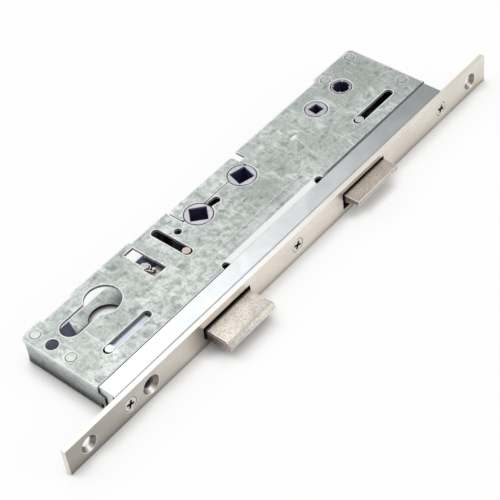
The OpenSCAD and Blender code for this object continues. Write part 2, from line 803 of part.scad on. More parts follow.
module deadbolt_head() {
    half_t = bolt_t / 2;
    rebate = 0.4;
    nose_r = (half_t * half_t + nose_bulge * nose_bulge) / (2 * nose_bulge);
    nose_y = face_y - deadbolt_out + nose_r;
    color("antiquewhite") difference() {
        along_x(deadbolt_low_x, deadbolt_high_x) intersection() {
            union() {
                translate([nose_y, bolt_mid_z]) circle(nose_r);
                box2(face_y - deadbolt_out + nose_bulge, bolt_z, deadbolt_back_y, bolt_z + bolt_t);
            }
            box2(face_y - deadbolt_out - cut, bolt_z, deadbolt_back_y, bolt_z + bolt_t);
        }
        slab(bolt_tail_z, bolt_tail_z + bolt_tail_t)
            box2(deadbolt_low_x + 2, deadbolt_back_y - 4, deadbolt_high_x - 2, deadbolt_back_y + cut);
        for (p = DEADBOLT_RIVETS) post(p[0], p[1], bolt_z - cut, bolt_z + bolt_t + cut, 1.5 + seat_gap);
        // rebates along the sides of the top face
        for (x = [deadbolt_low_x, deadbolt_high_x])
            block(x - rebate, face_y - deadbolt_out + nose_bulge + 0.6, bolt_z + bolt_t - 0.7,
                x + rebate, deadbolt_back_y + cut, bolt_z + bolt_t + cut);
    }
}

module deadbolt_tail() {
    color("silver") slab(bolt_tail_z, bolt_tail_z + bolt_tail_t) difference() {
        bolt_tail2();
        for (p = DEADBOLT_RIVETS) translate(p) circle(1.5 + seat_gap);
        translate([bolt_pin_x, -bolt_pin_front]) circle(bolt_pin_r + seat_gap);
        translate([gate_x, stump_front_y]) circle(stump_r + seat_gap);
    }
}

module deadbolt_rivets() {
    color("silver") for (p = DEADBOLT_RIVETS) post(p[0], p[1], bolt_z, bolt_z + bolt_t, 1.5);
}

module deadbolt_pin() {
    color("peru") post(bolt_pin_x, -bolt_pin_front, bolt_tail_z, case_h - 0.1, bolt_pin_r);
}

module deadbolt_stump() {
    color("silver") post(gate_x, stump_front_y, bolt_tail_z, upper_z + slider_t, stump_r);
}

module deadlock_slider() {
    gate_r = stump_r + 0.4;
    stump_back_y = stump_front_y + deadbolt_travel;
    color("wheat") {
        slab(upper_z, upper_z + slider_t) difference() {
            round_box2(slider_low_x, slider_front_y, slider_high_x, slider_back_y, 1);
            stadium2([gate_x, stump_front_y], [gate_x, stump_back_y], gate_r);
            for (y = [stump_front_y, stump_back_y]) stadium2([gate_x, y], [gate_x + gate_travel, y], gate_r);
            for (p = SLIDER_STUDS) stadium2(p, p + [gate_travel, 0], stud_r + slot_gap);
            // slot beside the spring's peg
            stadium2([23, -5.2], [23, -9.4], 0.6);
        }
        post(slider_peg[0], slider_peg[1], upper_z, roof_z - layer_gap, 0.8);
    }
}

// The slide's lower end steps up to a leaf under the cover, so that the cylinder's screw passes beneath it
module drive_slide() {
    half_w = slide_w / 2;
    color("silver") {
        slab(slide_z, slide_z + slide_t) difference() {
            union() {
                stadium2([fork_pin_x, -slide_y], [upper_pin_x, -slide_y], half_w);
                box2(bridge_x, -slide_y - half_w, fork_pin_x, half_w - slide_y);
            }
            translate([upper_pin_x, -slide_y]) circle(drive_pin_r + seat_gap);
            translate([fork_pin_x, -slide_y]) circle(fork_pin_r + seat_gap);
        }
        slab(slide_z, leaf_z + leaf_t) box2(bridge_x, -slide_y - half_w, bridge_x + slide_t, half_w - slide_y);
        slab(leaf_z, leaf_z + leaf_t) difference() {
            union() {
                translate([-lower_pin_x, -slide_y]) circle(half_w);
                box2(-lower_pin_x, -slide_y - half_w, leaf_x, half_w - slide_y);
            }
            translate([-lower_pin_x, -slide_y]) circle(drive_pin_r + seat_gap);
        }
    }
}

module lower_drive_pin() {
    color("gainsboro") post(-lower_pin_x, -slide_y, leaf_z, case_h - 0.1, drive_pin_r);
}

module upper_drive_pin() {
    color("gainsboro") post(upper_pin_x, -slide_y, slide_z, case_h - 0.1, drive_pin_r);
}

module fork_pin() {
    color("silver") post(fork_pin_x, -slide_y, slide_z, lever_z + fork_t + 0.5, fork_pin_r);
}

module hub_body(x, r, disc_r) {
    post(x, 0, 0.05, case_h - 0.05 - hub_rim, r);
    translate([x, 0, case_h - 0.05 - hub_rim]) cylinder(r1 = r, r2 = r - hub_rim, h = hub_rim);
    post(x, 0, lever_z, upper_z - 0.4, disc_r);
}

module lower_follower() {
    reach = draw_arm_len * [cos(draw_rest), sin(draw_rest)];
    color("lavender") difference() {
        union() {
            hub_body(lower_follower_x, boss_r, lower_disc_r);
            slab(upper_z - 0.5, upper_z + upper_t)
                stadium2([lower_follower_x, 0], [lower_follower_x, 0] + reach, draw_arm_r);
        }
        spindle_hole(lower_follower_x, spindle_sq, lower_square_turn);
    }
}

module upper_follower() {
    slot_r = fork_pin_r + fork_gap;
    half_w = slot_r + fork_wall;
    color("lavender") difference() {
        union() {
            hub_body(upper_follower_x, boss_r, upper_disc_r);
            slab(lever_z, lever_z + fork_t) translate([upper_follower_x, 0]) rotate(-90 - fork_half_turn)
                difference() {
                    box2(0, -half_w, fork_len, half_w);
                    box2(slide_y - 0.4, -slot_r, fork_len + cut, slot_r);
                    translate([slide_y - 0.4, 0]) circle(slot_r);
                }
        }
        spindle_hole(upper_follower_x, spindle_sq, upper_square_turn);
    }
}

// Place of a crank pin at rest, leaning up the lock
function crank_at(x) = [x + crank_r * sin(snib_half_turn), -crank_r * cos(snib_half_turn)];

module crank_hub(x, r) {
    hub_body(x, r, r + 0.8);
    slab(lever_z, upper_z - 0.4) stadium2([x, 0], crank_at(x), 2.4);
}

module crank_pin_hole(x) {
    post(crank_at(x)[0], crank_at(x)[1], -cut, case_h, crank_pin_r + seat_gap);
}

module snib_hub() {
    color("lavender") difference() {
        crank_hub(snib_x, snib_boss_r);
        spindle_hole(snib_x, snib_sq, snib_square_turn);
        crank_pin_hole(snib_x);
    }
}

module auxiliary_hub() {
    color("lavender") difference() {
        crank_hub(aux_x, aux_boss_r);
        slab(-cut, case_h + cut) difference() {
            translate([aux_x, 0]) circle(aux_hole_r);
            for (turn = [30:90:300]) translate([aux_x, 0]) rotate(turn) box2(aux_hole_r - tooth_h, -0.5, aux_hole_r + 1, 0.5);
        }
        crank_pin_hole(aux_x);
    }
}

module crank_pin(x) {
    color("silver") post(crank_at(x)[0], crank_at(x)[1], slide_z, upper_z - 0.4, crank_pin_r);
}

module snib_crank_pin() {
    crank_pin(snib_x);
}

module auxiliary_crank_pin() {
    crank_pin(aux_x);
}

module snib_bar() {
    low_x = lower_follower_x + boss_r + snib_travel + 5;
    high_x = aux_x + snib_bar_over;
    half_w = snib_bar_w / 2;
    notch_r = crank_pin_r + 0.35;
    color("silver") slab(slide_z, slide_z + slide_t) difference() {
        round_box2(low_x, snib_bar_y - half_w, high_x, snib_bar_y + half_w, 1.2);
        for (x = [snib_x, aux_x])
            stadium2([crank_at(x)[0], -crank_r], [crank_at(x)[0], snib_bar_y + half_w + 2], notch_r);
    }
}

case_tray();
cover_plate();
overlay_plate();
front_channel();
faceplate();
faceplate_screws();
spacer_rivets();
deadbolt_guide();
latch_guide();
slider_studs();
spring_post();
slider_spring();
latch_spring();
latch_spring_seat();
lower_follower_spring();
upper_follower_spring();
latch_head();
latch_tail();
latch_rivets();
latch_spring_rod();
deadbolt_head();
deadbolt_tail();
deadbolt_rivets();
deadbolt_pin();
deadbolt_stump();
deadlock_slider();
drive_slide();
lower_drive_pin();
upper_drive_pin();
fork_pin();
lower_follower();
upper_follower();
snib_hub();
snib_crank_pin();
auxiliary_hub();
auxiliary_crank_pin();
snib_bar();
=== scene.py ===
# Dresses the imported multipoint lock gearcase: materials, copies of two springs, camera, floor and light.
# X runs up the lock, -Y points out of the faceplate and Z rises from the base plate to the cover.
# Places on the lock are in millimetres and become metres through MM. Lamps are placed in metres.
import json
import math

import bpy
from mathutils import Matrix, Vector


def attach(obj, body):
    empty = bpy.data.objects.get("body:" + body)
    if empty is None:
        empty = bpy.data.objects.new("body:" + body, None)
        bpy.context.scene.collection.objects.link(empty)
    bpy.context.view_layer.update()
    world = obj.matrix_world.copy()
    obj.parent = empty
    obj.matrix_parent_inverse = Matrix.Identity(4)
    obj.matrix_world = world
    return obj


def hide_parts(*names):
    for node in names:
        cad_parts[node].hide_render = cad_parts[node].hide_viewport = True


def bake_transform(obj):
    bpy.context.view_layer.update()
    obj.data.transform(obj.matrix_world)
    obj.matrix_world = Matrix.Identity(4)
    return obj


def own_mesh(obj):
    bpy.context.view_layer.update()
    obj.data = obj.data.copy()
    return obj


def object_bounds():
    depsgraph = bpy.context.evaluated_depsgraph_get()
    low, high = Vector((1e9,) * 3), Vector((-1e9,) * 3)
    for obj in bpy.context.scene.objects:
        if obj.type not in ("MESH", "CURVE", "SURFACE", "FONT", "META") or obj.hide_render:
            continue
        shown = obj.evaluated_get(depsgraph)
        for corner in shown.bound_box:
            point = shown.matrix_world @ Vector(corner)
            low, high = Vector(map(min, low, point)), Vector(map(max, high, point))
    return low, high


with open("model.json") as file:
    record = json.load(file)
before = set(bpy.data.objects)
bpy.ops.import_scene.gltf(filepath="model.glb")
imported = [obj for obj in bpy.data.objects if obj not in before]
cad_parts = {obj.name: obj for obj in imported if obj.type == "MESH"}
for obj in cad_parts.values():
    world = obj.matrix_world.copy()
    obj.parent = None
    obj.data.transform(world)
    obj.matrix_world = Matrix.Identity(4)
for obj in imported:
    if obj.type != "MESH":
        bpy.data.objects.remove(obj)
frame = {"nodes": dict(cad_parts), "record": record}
cad_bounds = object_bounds()

MM = 0.001
nodes = frame["nodes"]


# Colours

def srgb(red, green, blue):
    """A linear colour from the eight-bit values that a picture would show."""
    def linear(value):
        c = value / 255
        return c / 12.92 if c <= 0.04045 else ((c + 0.055) / 1.055) ** 2.4
    return (linear(red), linear(green), linear(blue), 1.0)


WHITE = srgb(255, 255, 255)
WARM_WHITE = srgb(255, 253, 250)
CREAM = srgb(255, 252, 246)
# Painted shade where surfaces meet and along round edges, and painted shade in closed spaces
PAINTED_SHADE = srgb(52, 50, 58)
DARK = srgb(26, 22, 38)

# Galvanised sheet: pale and dark clouds, and stains; painted shade for the walls of openings and for the
# base's inner floor; and grey seams
COVER_COLOURS = (srgb(216, 223, 220), srgb(178, 186, 182), srgb(128, 138, 134))
# Darker copy of the galvanised sheet: painted shade for the parts inside the case
INNER_SHADED_COLOURS = (srgb(150, 154, 160), srgb(110, 114, 122), srgb(80, 84, 90))
PALE_GRAIN = srgb(244, 248, 246)
PALE_SMEAR = srgb(240, 244, 242)
SCRATCH = srgb(244, 247, 246)
COVER_CUT_SHADE = srgb(18, 16, 26)
BASE_CUT_SHADE = srgb(24, 22, 38)
BASE_SHADOW = srgb(46, 46, 76)
SEAM_GREY = srgb(84, 86, 92)
WIDE_SEAM_GREY = srgb(40, 42, 48)

# Faceplate: clouds, brush lines, specks, and painted shade on the walls of its holes
NICKEL_PALE, NICKEL_DARK = srgb(252, 245, 235), srgb(234, 225, 213)
NICKEL_LINE = srgb(212, 202, 190)
NICKEL_SPECK = srgb(184, 174, 164)
PLATE_HOLE_SHADE = srgb(108, 94, 86)
BOLT_HOLE_SHADE = srgb(22, 18, 20)

SCREW_PALE, SCREW_DARK = srgb(242, 237, 229), srgb(214, 207, 198)
# Painted shade on the screws' rims and in their cross recesses
SCREW_RIM_SHADE = srgb(84, 72, 66)
SCREW_CROSS_SHADE = srgb(48, 42, 42)
# Painted shade for the bolts' rebates and -X sides, and for the bores of the hubs
REBATE_SHADE = srgb(30, 26, 26)
SIDE_SHADE_TINT = srgb(238, 226, 232)
BORE_SHADE = srgb(84, 80, 128)
FLOOR_WHITE = srgb(250, 250, 249)


# Places that take painted light or shade, or a tone of their own, each as (low, high) along one axis

# Inside the outlines of the cover and of the base, where upright faces are walls of openings that get
# painted shade
COVER_X, COVER_Y = (-35.9, 189.9), (-30.9, 11.9)
BASE_X, BASE_Y = (-34, 188), (-30.9, 10.5)
# Flap bent down at the cover's front edge, and rib pressed up behind it, whose slopes get painted
# highlights
FLAP_Y = (-31.4, -28)
RIB_Y = (-27.5, -20)
# Dark seam along the cover's front edge, and its wider stretch, which starts over a span of X
SEAM_Y = (-31.2, -30.75)
WIDE_SEAM_Y = (-31.2, -30.4)
WIDE_SEAM_START = (110, 116)
# Outline of the raised panel: its line along X, and its line along Y
PANEL_LONG_X, PANEL_LONG_Y = (112, 140), (-22.6, -22.2)
PANEL_SHORT_X, PANEL_SHORT_Y = (139.8, 140.2), (-30.5, -22.4)
# Height of the pressed triangle, and the lanced lug that rises above the cover and gets a painted
# highlight
PRESSED_Z = (13.8, 13.9)
LUG_X, LUG_Y, LUG_RISE = (122, 128), (-7, 0), (14.1, 14.25)
# Inner face of the base plate, and where the painted shadow on it ends, as light from the cylinder opening
# would fall
INNER_FLOOR_Z = (1.3, 2.0)
LIGHT_LEAN, LIGHT_SIDE, LIGHT_END = (0.926, -0.377), (-15.1, -14.6), (22, 15)
# Walls of the faceplate's holes, and the openings of deadbolt and latch, all painted as shade
PLATE_CUT_X, PLATE_CUT_Y, PLATE_CUT_Z = (-67.0, 220.7), (-43.75, -41.65), (-0.2, 14.2)
DEADBOLT_OPENING_X = (12, 47)
LATCH_OPENING_X = (107, 142)
# Rebates beside the deadbolt's top face, bottom of the screws' cross recess, and inside of the case, all
# painted as shade
REBATE_Z = (8.1, 8.5)
CROSS_Y = (-43.75, -43.45)
CASE_INSIDE_Z = (1.0, 13.0)
# Bores of the followers and of the two small hubs, as (x, half width), painted as shade inside
HUB_BORES = ((62, 5.8), (92, 5.8), (146.3, 3.8), (165.6, 4.3))

# Painted light and shade: how surfaces change in tone from place to place, as (millimetres, share) along
# the axis that is named

# Along X
FACE_LIGHT_TONES = ((-68, 0.50), (-42, 0.50), (-20, 0.68), (0, 0.84), (50, 0.93), (95, 1.0), (120, 0.95),
              (150, 0.86), (200, 0.86), (222, 0.92))
FACE_TOP_HIGHLIGHT = ((-68, 0.9), (40, 0.8), (120, 0.3), (222, 0.3))
COVER_LIGHT_TONES = ((-36, 0.99), (-12, 1.01), (8, 0.89), (30, 0.95), (60, 0.90), (82, 0.84), (100, 0.97),
               (122, 1.13), (135, 1.13), (150, 1.06), (190, 1.02))
STRIP_REFLECTION_TONES = ((-36, 1.0), (80, 1.0), (100, 1.0), (130, 0.88), (160, 0.74), (190, 0.58))
BOLT_TOP_LIGHT = ((15, 1.10), (22, 1.0), (32, 0.92), (44, 0.80))
BOLT_NOSE_LIGHT = ((15, 0.80), (20, 0.80), (30, 1.05), (44, 1.12))
# Along Z
FACE_LOW_EDGE_SHADE = ((-0.5, 0.45), (1.0, 0.8), (3.0, 0.97), (14.5, 1.0))
WALL_SHADE = ((0.0, 0.34), (0.7, 0.10), (1.6, 0.03), (2.6, 0.06), (4.0, 0.22), (6.0, 0.48), (8.0, 0.70),
              (10.5, 0.95), (14.0, 1.0))
# Along Y
BOLT_SIDE_SHADE = ((-58, 0.75), (-53, 0.55), (-47, 0.22), (-43, 0.12), (-30, 0.12))
BOLT_OPENING_SHADE = ((-59, 1.0), (-45.6, 1.0), (-44.9, 0.45), (-44.2, 0.05), (-30, 0.03))
LATCH_SIDE_SHADE = ((-52, 0.8), (-45, 0.4), (-30, 0.3))
LATCH_OPENING_SHADE = ((-60, 1.0), (-45.4, 1.0), (-44.8, 0.45), (-44.2, 0.05), (-30, 0.03))


# Shader building

# Reach in millimetres within which crowding surfaces make a closed space, which gets painted shade
HIDDEN_REACH = 18.0


class Shader:
    """A material with a Principled shader, and short calls that add texture nodes to it."""

    def __init__(self, name, metallic, roughness):
        self.material = bpy.data.materials.new(name)
        self.material.use_nodes = True
        self.tree = self.material.node_tree
        self.principled = self.tree.nodes["Principled BSDF"]
        self.principled.inputs["Metallic"].default_value = metallic
        self.principled.inputs["Roughness"].default_value = roughness
        self.metallic = metallic
        self.place = self.add("ShaderNodeTexCoord").outputs["Object"]

    # Nodes and links

    def add(self, kind, **settings):
        node = self.tree.nodes.new(kind)
        for key, value in settings.items():
            setattr(node, key, value)
        return node

    def join(self, value, socket):
        """Links an output to a socket, or sets the socket to a constant."""
        if isinstance(value, bpy.types.NodeSocket):
            self.tree.links.new(value, socket)
        else:
            socket.default_value = value

    def colour(self, value):
        self.join(value, self.principled.inputs["Base Color"])

    def roughness(self, value):
        self.join(value, self.principled.inputs["Roughness"])

    # Sums

    def combine(self, operation, first, second):
        node = self.add("ShaderNodeMath", operation=operation)
        self.join(first, node.inputs[0])
        self.join(second, node.inputs[1])
        return node.outputs[0]

    def times(self, first, second):
        return self.combine("MULTIPLY", first, second)

    def either(self, first, second):
        return self.combine("MAXIMUM", first, second)

    def outside(self, mask):
        return self.combine("SUBTRACT", 1.0, mask)

    def dot(self, first, second):
        node = self.add("ShaderNodeVectorMath", operation="DOT_PRODUCT")
        self.join(first, node.inputs[0])
        self.join(second, node.inputs[1])
        return node.outputs["Value"]

    def ramp(self, value, low, high, low_value=0.0, high_value=1.0):
        """Low_value up to low and high_value from high on, with a straight slope between."""
        node = self.add("ShaderNodeMapRange")
        self.join(value, node.inputs["Value"])
        for key, number in (("From Min", low), ("From Max", high), ("To Min", low_value),
                            ("To Max", high_value)):
            node.inputs[key].default_value = number
        return node.outputs["Result"]

    def blend(self, factor, first, second, how="MIX"):
        node = self.add("ShaderNodeMix", data_type="RGBA", blend_type=how)
        self.join(factor, node.inputs[0])
        self.join(first, node.inputs[6])
        self.join(second, node.inputs[7])
        return node.outputs[2]

    def toned(self, base, shade, mask=1.0):
        """Base colour times a shade, as far as the mask lets it."""
        return self.blend(mask, base, shade, how="MULTIPLY")

    # Where a point lies

    def component(self, vector, axis):
        split = self.add("ShaderNodeSeparateXYZ")
        self.join(vector, split.inputs[0])
        return split.outputs[axis]

    def axis(self, which):
        """Place along one axis, in metres."""
        return self.component(self.place, which)

    def lean(self, across, along):
        """Place along a level direction that leans between X and Y, in metres."""
        return self.dot(self.place, (across, along, 0))

    def past(self, place, start, full):
        """Zero on one side of start and one beyond full, both in millimetres along a place in metres."""
        return self.ramp(place, start * MM, full * MM)

    def within(self, soft=0.1, **spans):
        """One where each axis that is named lies in its span in millimetres, and zero elsewhere."""
        mask = None
        for which, (low, high) in spans.items():
            place = self.axis(which)
            span = self.times(self.past(place, low - soft, low), self.past(place, high + soft, high))
            mask = span if mask is None else self.times(mask, span)
        return mask

    def along(self, which, points):
        """A value that follows (millimetres, value) points along one axis."""
        low, high = points[0][0], points[-1][0]
        node = self.add("ShaderNodeValToRGB")
        self.join(self.past(self.axis(which), low, high), node.inputs[0])
        stops = node.color_ramp.elements
        stops[0].color = (points[0][1],) * 3 + (1,)
        stops[1].color = (points[-1][1],) * 3 + (1,)
        for at, value in points[1:-1]:
            stops.new((at - low) / (high - low)).color = (value,) * 3 + (1,)
        return node.outputs[0]

    # Which way a surface faces, and what lies near it

    def faces(self, which, start, full):
        """How far a face is turned along an axis: zero at the share start of it, one at full."""
        normal = self.add("ShaderNodeTexCoord").outputs["Normal"]
        return self.ramp(self.component(normal, which), start, full)

    def level(self):
        """One on level faces that look up."""
        return self.faces("Z", 0.8, 0.95)

    def upright(self):
        """One on upright faces."""
        return self.times(self.faces("Z", 0.5, 0.3), self.faces("Z", -0.5, -0.3))

    def rounded(self, edge):
        """A normal that rounds edges off by edge millimetres."""
        bevel = self.add("ShaderNodeBevel", samples=6)
        bevel.inputs["Radius"].default_value = edge * MM
        return bevel.outputs["Normal"]

    def edges(self, width):
        """One along the edges, falling to zero width millimetres away from them."""
        face = self.add("ShaderNodeNewGeometry").outputs["Normal"]
        return self.ramp(self.dot(self.rounded(width), face), 0.999, 0.96)

    def openness(self, reach):
        """One in the open, down to zero where surfaces all round crowd within reach millimetres."""
        node = self.add("ShaderNodeAmbientOcclusion", samples=8)
        node.inputs["Distance"].default_value = reach * MM
        return node.outputs["AO"]

    # Textures and relief

    def noise(self, size, detail=3.0, distortion=0.0, stretch=(1, 1, 1), turn=0.0):
        """Noise whose features are about size millimetres across, drawn out where stretch is below one."""
        mapping = self.add("ShaderNodeMapping")
        self.join(self.place, mapping.inputs["Vector"])
        mapping.inputs["Scale"].default_value = stretch
        mapping.inputs["Rotation"].default_value = (0, 0, math.radians(turn))
        node = self.add("ShaderNodeTexNoise")
        self.join(mapping.outputs["Vector"], node.inputs["Vector"])
        node.inputs["Scale"].default_value = 1 / (size * MM)
        node.inputs["Detail"].default_value = detail
        node.inputs["Distortion"].default_value = distortion
        return node.outputs["Fac"]

    def bump(self, height, depth, edge=0.0):
        """Relief of depth millimetres, over edges that look rounded by edge millimetres."""
        node = self.add("ShaderNodeBump")
        self.join(height, node.inputs["Height"])
        node.inputs["Distance"].default_value = depth * MM
        if edge:
            self.join(self.rounded(edge), node.inputs["Normal"])
        self.join(node.outputs["Normal"], self.principled.inputs["Normal"])

    # Wear

    def shine(self, mask):
        """Metallic reflection, lost under the mask of bright rims, which are painted highlight with some
        wear.
        """
        self.join(self.ramp(mask, 0.0, 1.0, self.metallic, 0.1), self.principled.inputs["Metallic"])

    def wear_and_painted_light(self, base, bright, width, amount, reach=2.0, glint=None):
        """Base colour with bright rims, painted highlight with some wear, and painted shade where surfaces
        meet and in closed spaces.
        """
        # Bright rims along the edges: painted highlight with some wear, plus any further painted highlight
        rim = self.ramp(self.edges(width), 0.0, 1.0, 0.0, amount)
        if glint is not None:
            rim = self.either(rim, glint)
        base = self.blend(rim, base, bright)
        # Painted shade where surfaces crowd within reach
        base = self.blend(self.ramp(self.openness(reach), 0.72, 0.25, 0.0, 0.9), base, PAINTED_SHADE)
        self.shine(rim)
        # Painted shade in closed spaces
        return self.blend(self.ramp(self.openness(HIDDEN_REACH), 0.36, 0.12), base, DARK)


# Galvanised sheet

def zinc(name, pale, dark, stain):
    """A shader with the base colour and the mottle of cloudy zinc, with stains, smears and scratches."""
    s = Shader(name, metallic=0.65, roughness=0.42)
    clouds = s.noise(24, detail=3)
    base = s.blend(s.ramp(clouds, 0.38, 0.62), dark, pale)
    mottle = s.noise(3.4, detail=7, distortion=0.25)
    base = s.blend(s.ramp(mottle, 0.46, 0.58, 0.0, 0.8), base, dark)
    grain = s.noise(1.1, detail=3)
    base = s.blend(s.ramp(grain, 0.52, 0.68, 0.0, 0.4), base, stain)
    base = s.blend(s.ramp(grain, 0.42, 0.32, 0.0, 0.25), base, PALE_GRAIN)
    spots = s.noise(4.5, detail=8, distortion=0.2)
    base = s.blend(s.ramp(spots, 0.56, 0.67, 0.0, 0.65), base, stain)
    smears = s.noise(5, detail=6, distortion=0.5, stretch=(1, 0.45, 1), turn=35)
    base = s.blend(s.ramp(smears, 0.57, 0.70, 0.0, 0.6), base, PALE_SMEAR)
    specks = s.noise(1.3, detail=2)
    base = s.blend(s.ramp(specks, 0.66, 0.76, 0.0, 0.7), base, stain)
    for turn, low in ((30, 0.66), (-24, 0.67)):
        lines = s.noise(1.0, detail=1, stretch=(1, 0.07, 1), turn=turn)
        base = s.blend(s.ramp(lines, low, low + 0.06, 0.0, 0.4), base, SCRATCH)
    return s, base, mottle


def rolled(s, colour, mottle):
    """The finished material of a zinc shader, with the gloss and slight relief of rolled sheet."""
    s.colour(colour)
    s.roughness(s.ramp(mottle, 0.3, 0.7, 0.38, 0.5))
    s.bump(s.blend(0.5, s.noise(0.4, detail=3), mottle), 0.016, edge=0.3)
    return s.material


def galvanised(name, colours):
    s, base, mottle = zinc(name, *colours)
    return rolled(s, s.wear_and_painted_light(base, WHITE, 0.6, 0.9), mottle)


def cover_painted_highlights(s):
    """Painted highlights on the slopes of the cover's flap and rib, and on its lanced lug."""
    sloped = s.times(s.faces("Y", -0.08, -0.18), s.faces("Z", 0.7, 0.9))
    flap = s.times(s.times(sloped, s.within(Y=FLAP_Y)), 0.95)
    rib = s.times(s.times(sloped, s.within(Y=RIB_Y)), 0.35)
    lug = s.times(s.past(s.axis("Z"), *LUG_RISE), s.within(X=LUG_X, Y=LUG_Y))
    return s.either(s.either(flap, rib), s.times(lug, 0.9))


def cover_sheet(name, colours):
    """The cover: painted shade on the walls of its openings, painted light and shade along X, dark seams
    and outlines, and painted highlights on slopes and edges.
    """
    s, base, mottle = zinc(name, *colours)
    stain = colours[2]
    # Painted shade on the walls of the openings, and painted light and shade along X
    cut_walls = s.times(s.upright(), s.within(X=COVER_X, Y=COVER_Y))
    base = s.toned(s.blend(cut_walls, base, COVER_CUT_SHADE), s.along("X", COVER_LIGHT_TONES))
    seam = s.times(s.within(soft=0.05, Y=SEAM_Y), s.level())
    base = s.blend(s.times(seam, 0.7), base, SEAM_GREY)
    panel = s.either(s.within(X=PANEL_LONG_X, Y=PANEL_LONG_Y), s.within(X=PANEL_SHORT_X, Y=PANEL_SHORT_Y))
    base = s.blend(s.times(panel, 0.45), base, stain)
    pressed = s.times(s.level(), s.within(soft=0.05, Z=PRESSED_Z))
    base = s.blend(s.times(pressed, 0.4), base, stain)
    skin = s.wear_and_painted_light(base, WHITE, 1.15, 0.95, glint=cover_painted_highlights(s))
    wide_seam = s.times(s.times(s.within(soft=0.05, Y=WIDE_SEAM_Y), s.level()),
                        s.past(s.axis("X"), *WIDE_SEAM_START))
    return rolled(s, s.blend(s.times(wide_seam, 0.9), skin, WIDE_SEAM_GREY), mottle)


def tray_sheet(name, colours):
    """The tray: painted shade on the end walls, darker downwards, a painted shadow on the inner floor with
    one lit place, and painted shade on hole walls.
    """
    s, base, mottle = zinc(name, *colours)
    # Painted shade on the end walls, darker towards the bottom
    ends = s.either(s.faces("X", 0.5, 0.8), s.faces("X", -0.5, -0.8))
    base = s.toned(base, s.along("Z", WALL_SHADE), ends)
    # Painted shadow on the inner floor, except where light from the cylinder opening would fall
    inner = s.times(s.faces("Z", 0.3, 0.6), s.within(Z=INNER_FLOOR_Z))
    lit = s.times(s.past(s.lean(*LIGHT_LEAN), *LIGHT_SIDE), s.past(s.axis("X"), *LIGHT_END))
    base = s.blend(s.times(s.times(inner, s.outside(lit)), 0.94), base, BASE_SHADOW)
    # Painted shade on the walls of the base's holes
    hole_walls = s.times(s.upright(), s.within(X=BASE_X, Y=BASE_Y))
    base = s.blend(hole_walls, base, BASE_CUT_SHADE)
    return rolled(s, s.wear_and_painted_light(base, WHITE, 0.5, 0.5), mottle)


# Brushed, blasted and turned metal

def brushed(name, pale, dark, stretch, rough=(0.28, 0.42), metallic=0.9, edge=0.4, streaks=0.35, fine=0.7,
            tones=None):
    """Metal with fine brush lines along the direction that stretch draws out."""
    s = Shader(name, metallic=metallic, roughness=rough[0])
    lines = s.noise(fine, detail=4, stretch=stretch)
    smears = s.noise(16, detail=4, distortion=0.8)
    base = s.blend(s.ramp(smears, 0.38, 0.66), pale, dark)
    base = s.blend(s.ramp(lines, 0.35, 0.7, 0.0, streaks), base, dark)
    # Tones along X paint reflected light and shade
    if tones:
        base = s.toned(base, s.along("X", tones))
    s.colour(s.wear_and_painted_light(base, WARM_WHITE, edge, 0.8, reach=1.2))
    s.roughness(s.ramp(lines, 0.3, 0.7, rough[1], rough[0]))
    s.bump(lines, 0.003, edge=0.25)
    return s.material


def plate_nickel(name):
    """The faceplate: brushed along its length, with painted light and shade that darken the lower end and
    bottom edge, painted shade in its holes and a painted highlight on its top edge.
    """
    s = Shader(name, metallic=0.85, roughness=0.36)
    lines = s.noise(0.5, detail=4, stretch=(0.05, 1, 1))
    smears = s.noise(14, detail=4, distortion=0.4, stretch=(0.5, 1, 1))
    base = s.blend(s.ramp(smears, 0.38, 0.66), NICKEL_PALE, NICKEL_DARK)
    base = s.blend(s.ramp(lines, 0.35, 0.7, 0.0, 0.3), base, NICKEL_LINE)
    specks = s.noise(0.9, detail=2)
    base = s.blend(s.ramp(specks, 0.60, 0.74, 0.0, 0.3), base, NICKEL_SPECK)
    # Painted light and shade on the front face, darker towards the lower end and the bottom edge
    tone = s.toned(s.along("X", FACE_LIGHT_TONES), s.along("Z", FACE_LOW_EDGE_SHADE))
    base = s.toned(base, tone, s.faces("Y", -0.5, -0.8))
    # Painted shade on the walls of the holes, darkest in the deadbolt and latch openings
    hole = s.times(s.within(soft=0.15, Y=PLATE_CUT_Y), s.within(X=PLATE_CUT_X, Z=PLATE_CUT_Z))
    base = s.blend(s.times(hole, 0.8), base, PLATE_HOLE_SHADE)
    bolt_hole = s.times(hole, s.either(s.within(X=DEADBOLT_OPENING_X), s.within(X=LATCH_OPENING_X)))
    base = s.blend(s.times(bolt_hole, 0.98), base, BOLT_HOLE_SHADE)
    # Painted highlight on the top edge
    top_highlight = s.times(s.faces("Z", 0.5, 0.8), s.along("X", FACE_TOP_HIGHLIGHT))
    s.colour(s.wear_and_painted_light(base, WARM_WHITE, 0.4, 0.75, reach=1.0, glint=top_highlight))
    s.roughness(s.ramp(lines, 0.3, 0.7, 0.42, 0.32))
    s.bump(lines, 0.003, edge=0.25)
    return s.material


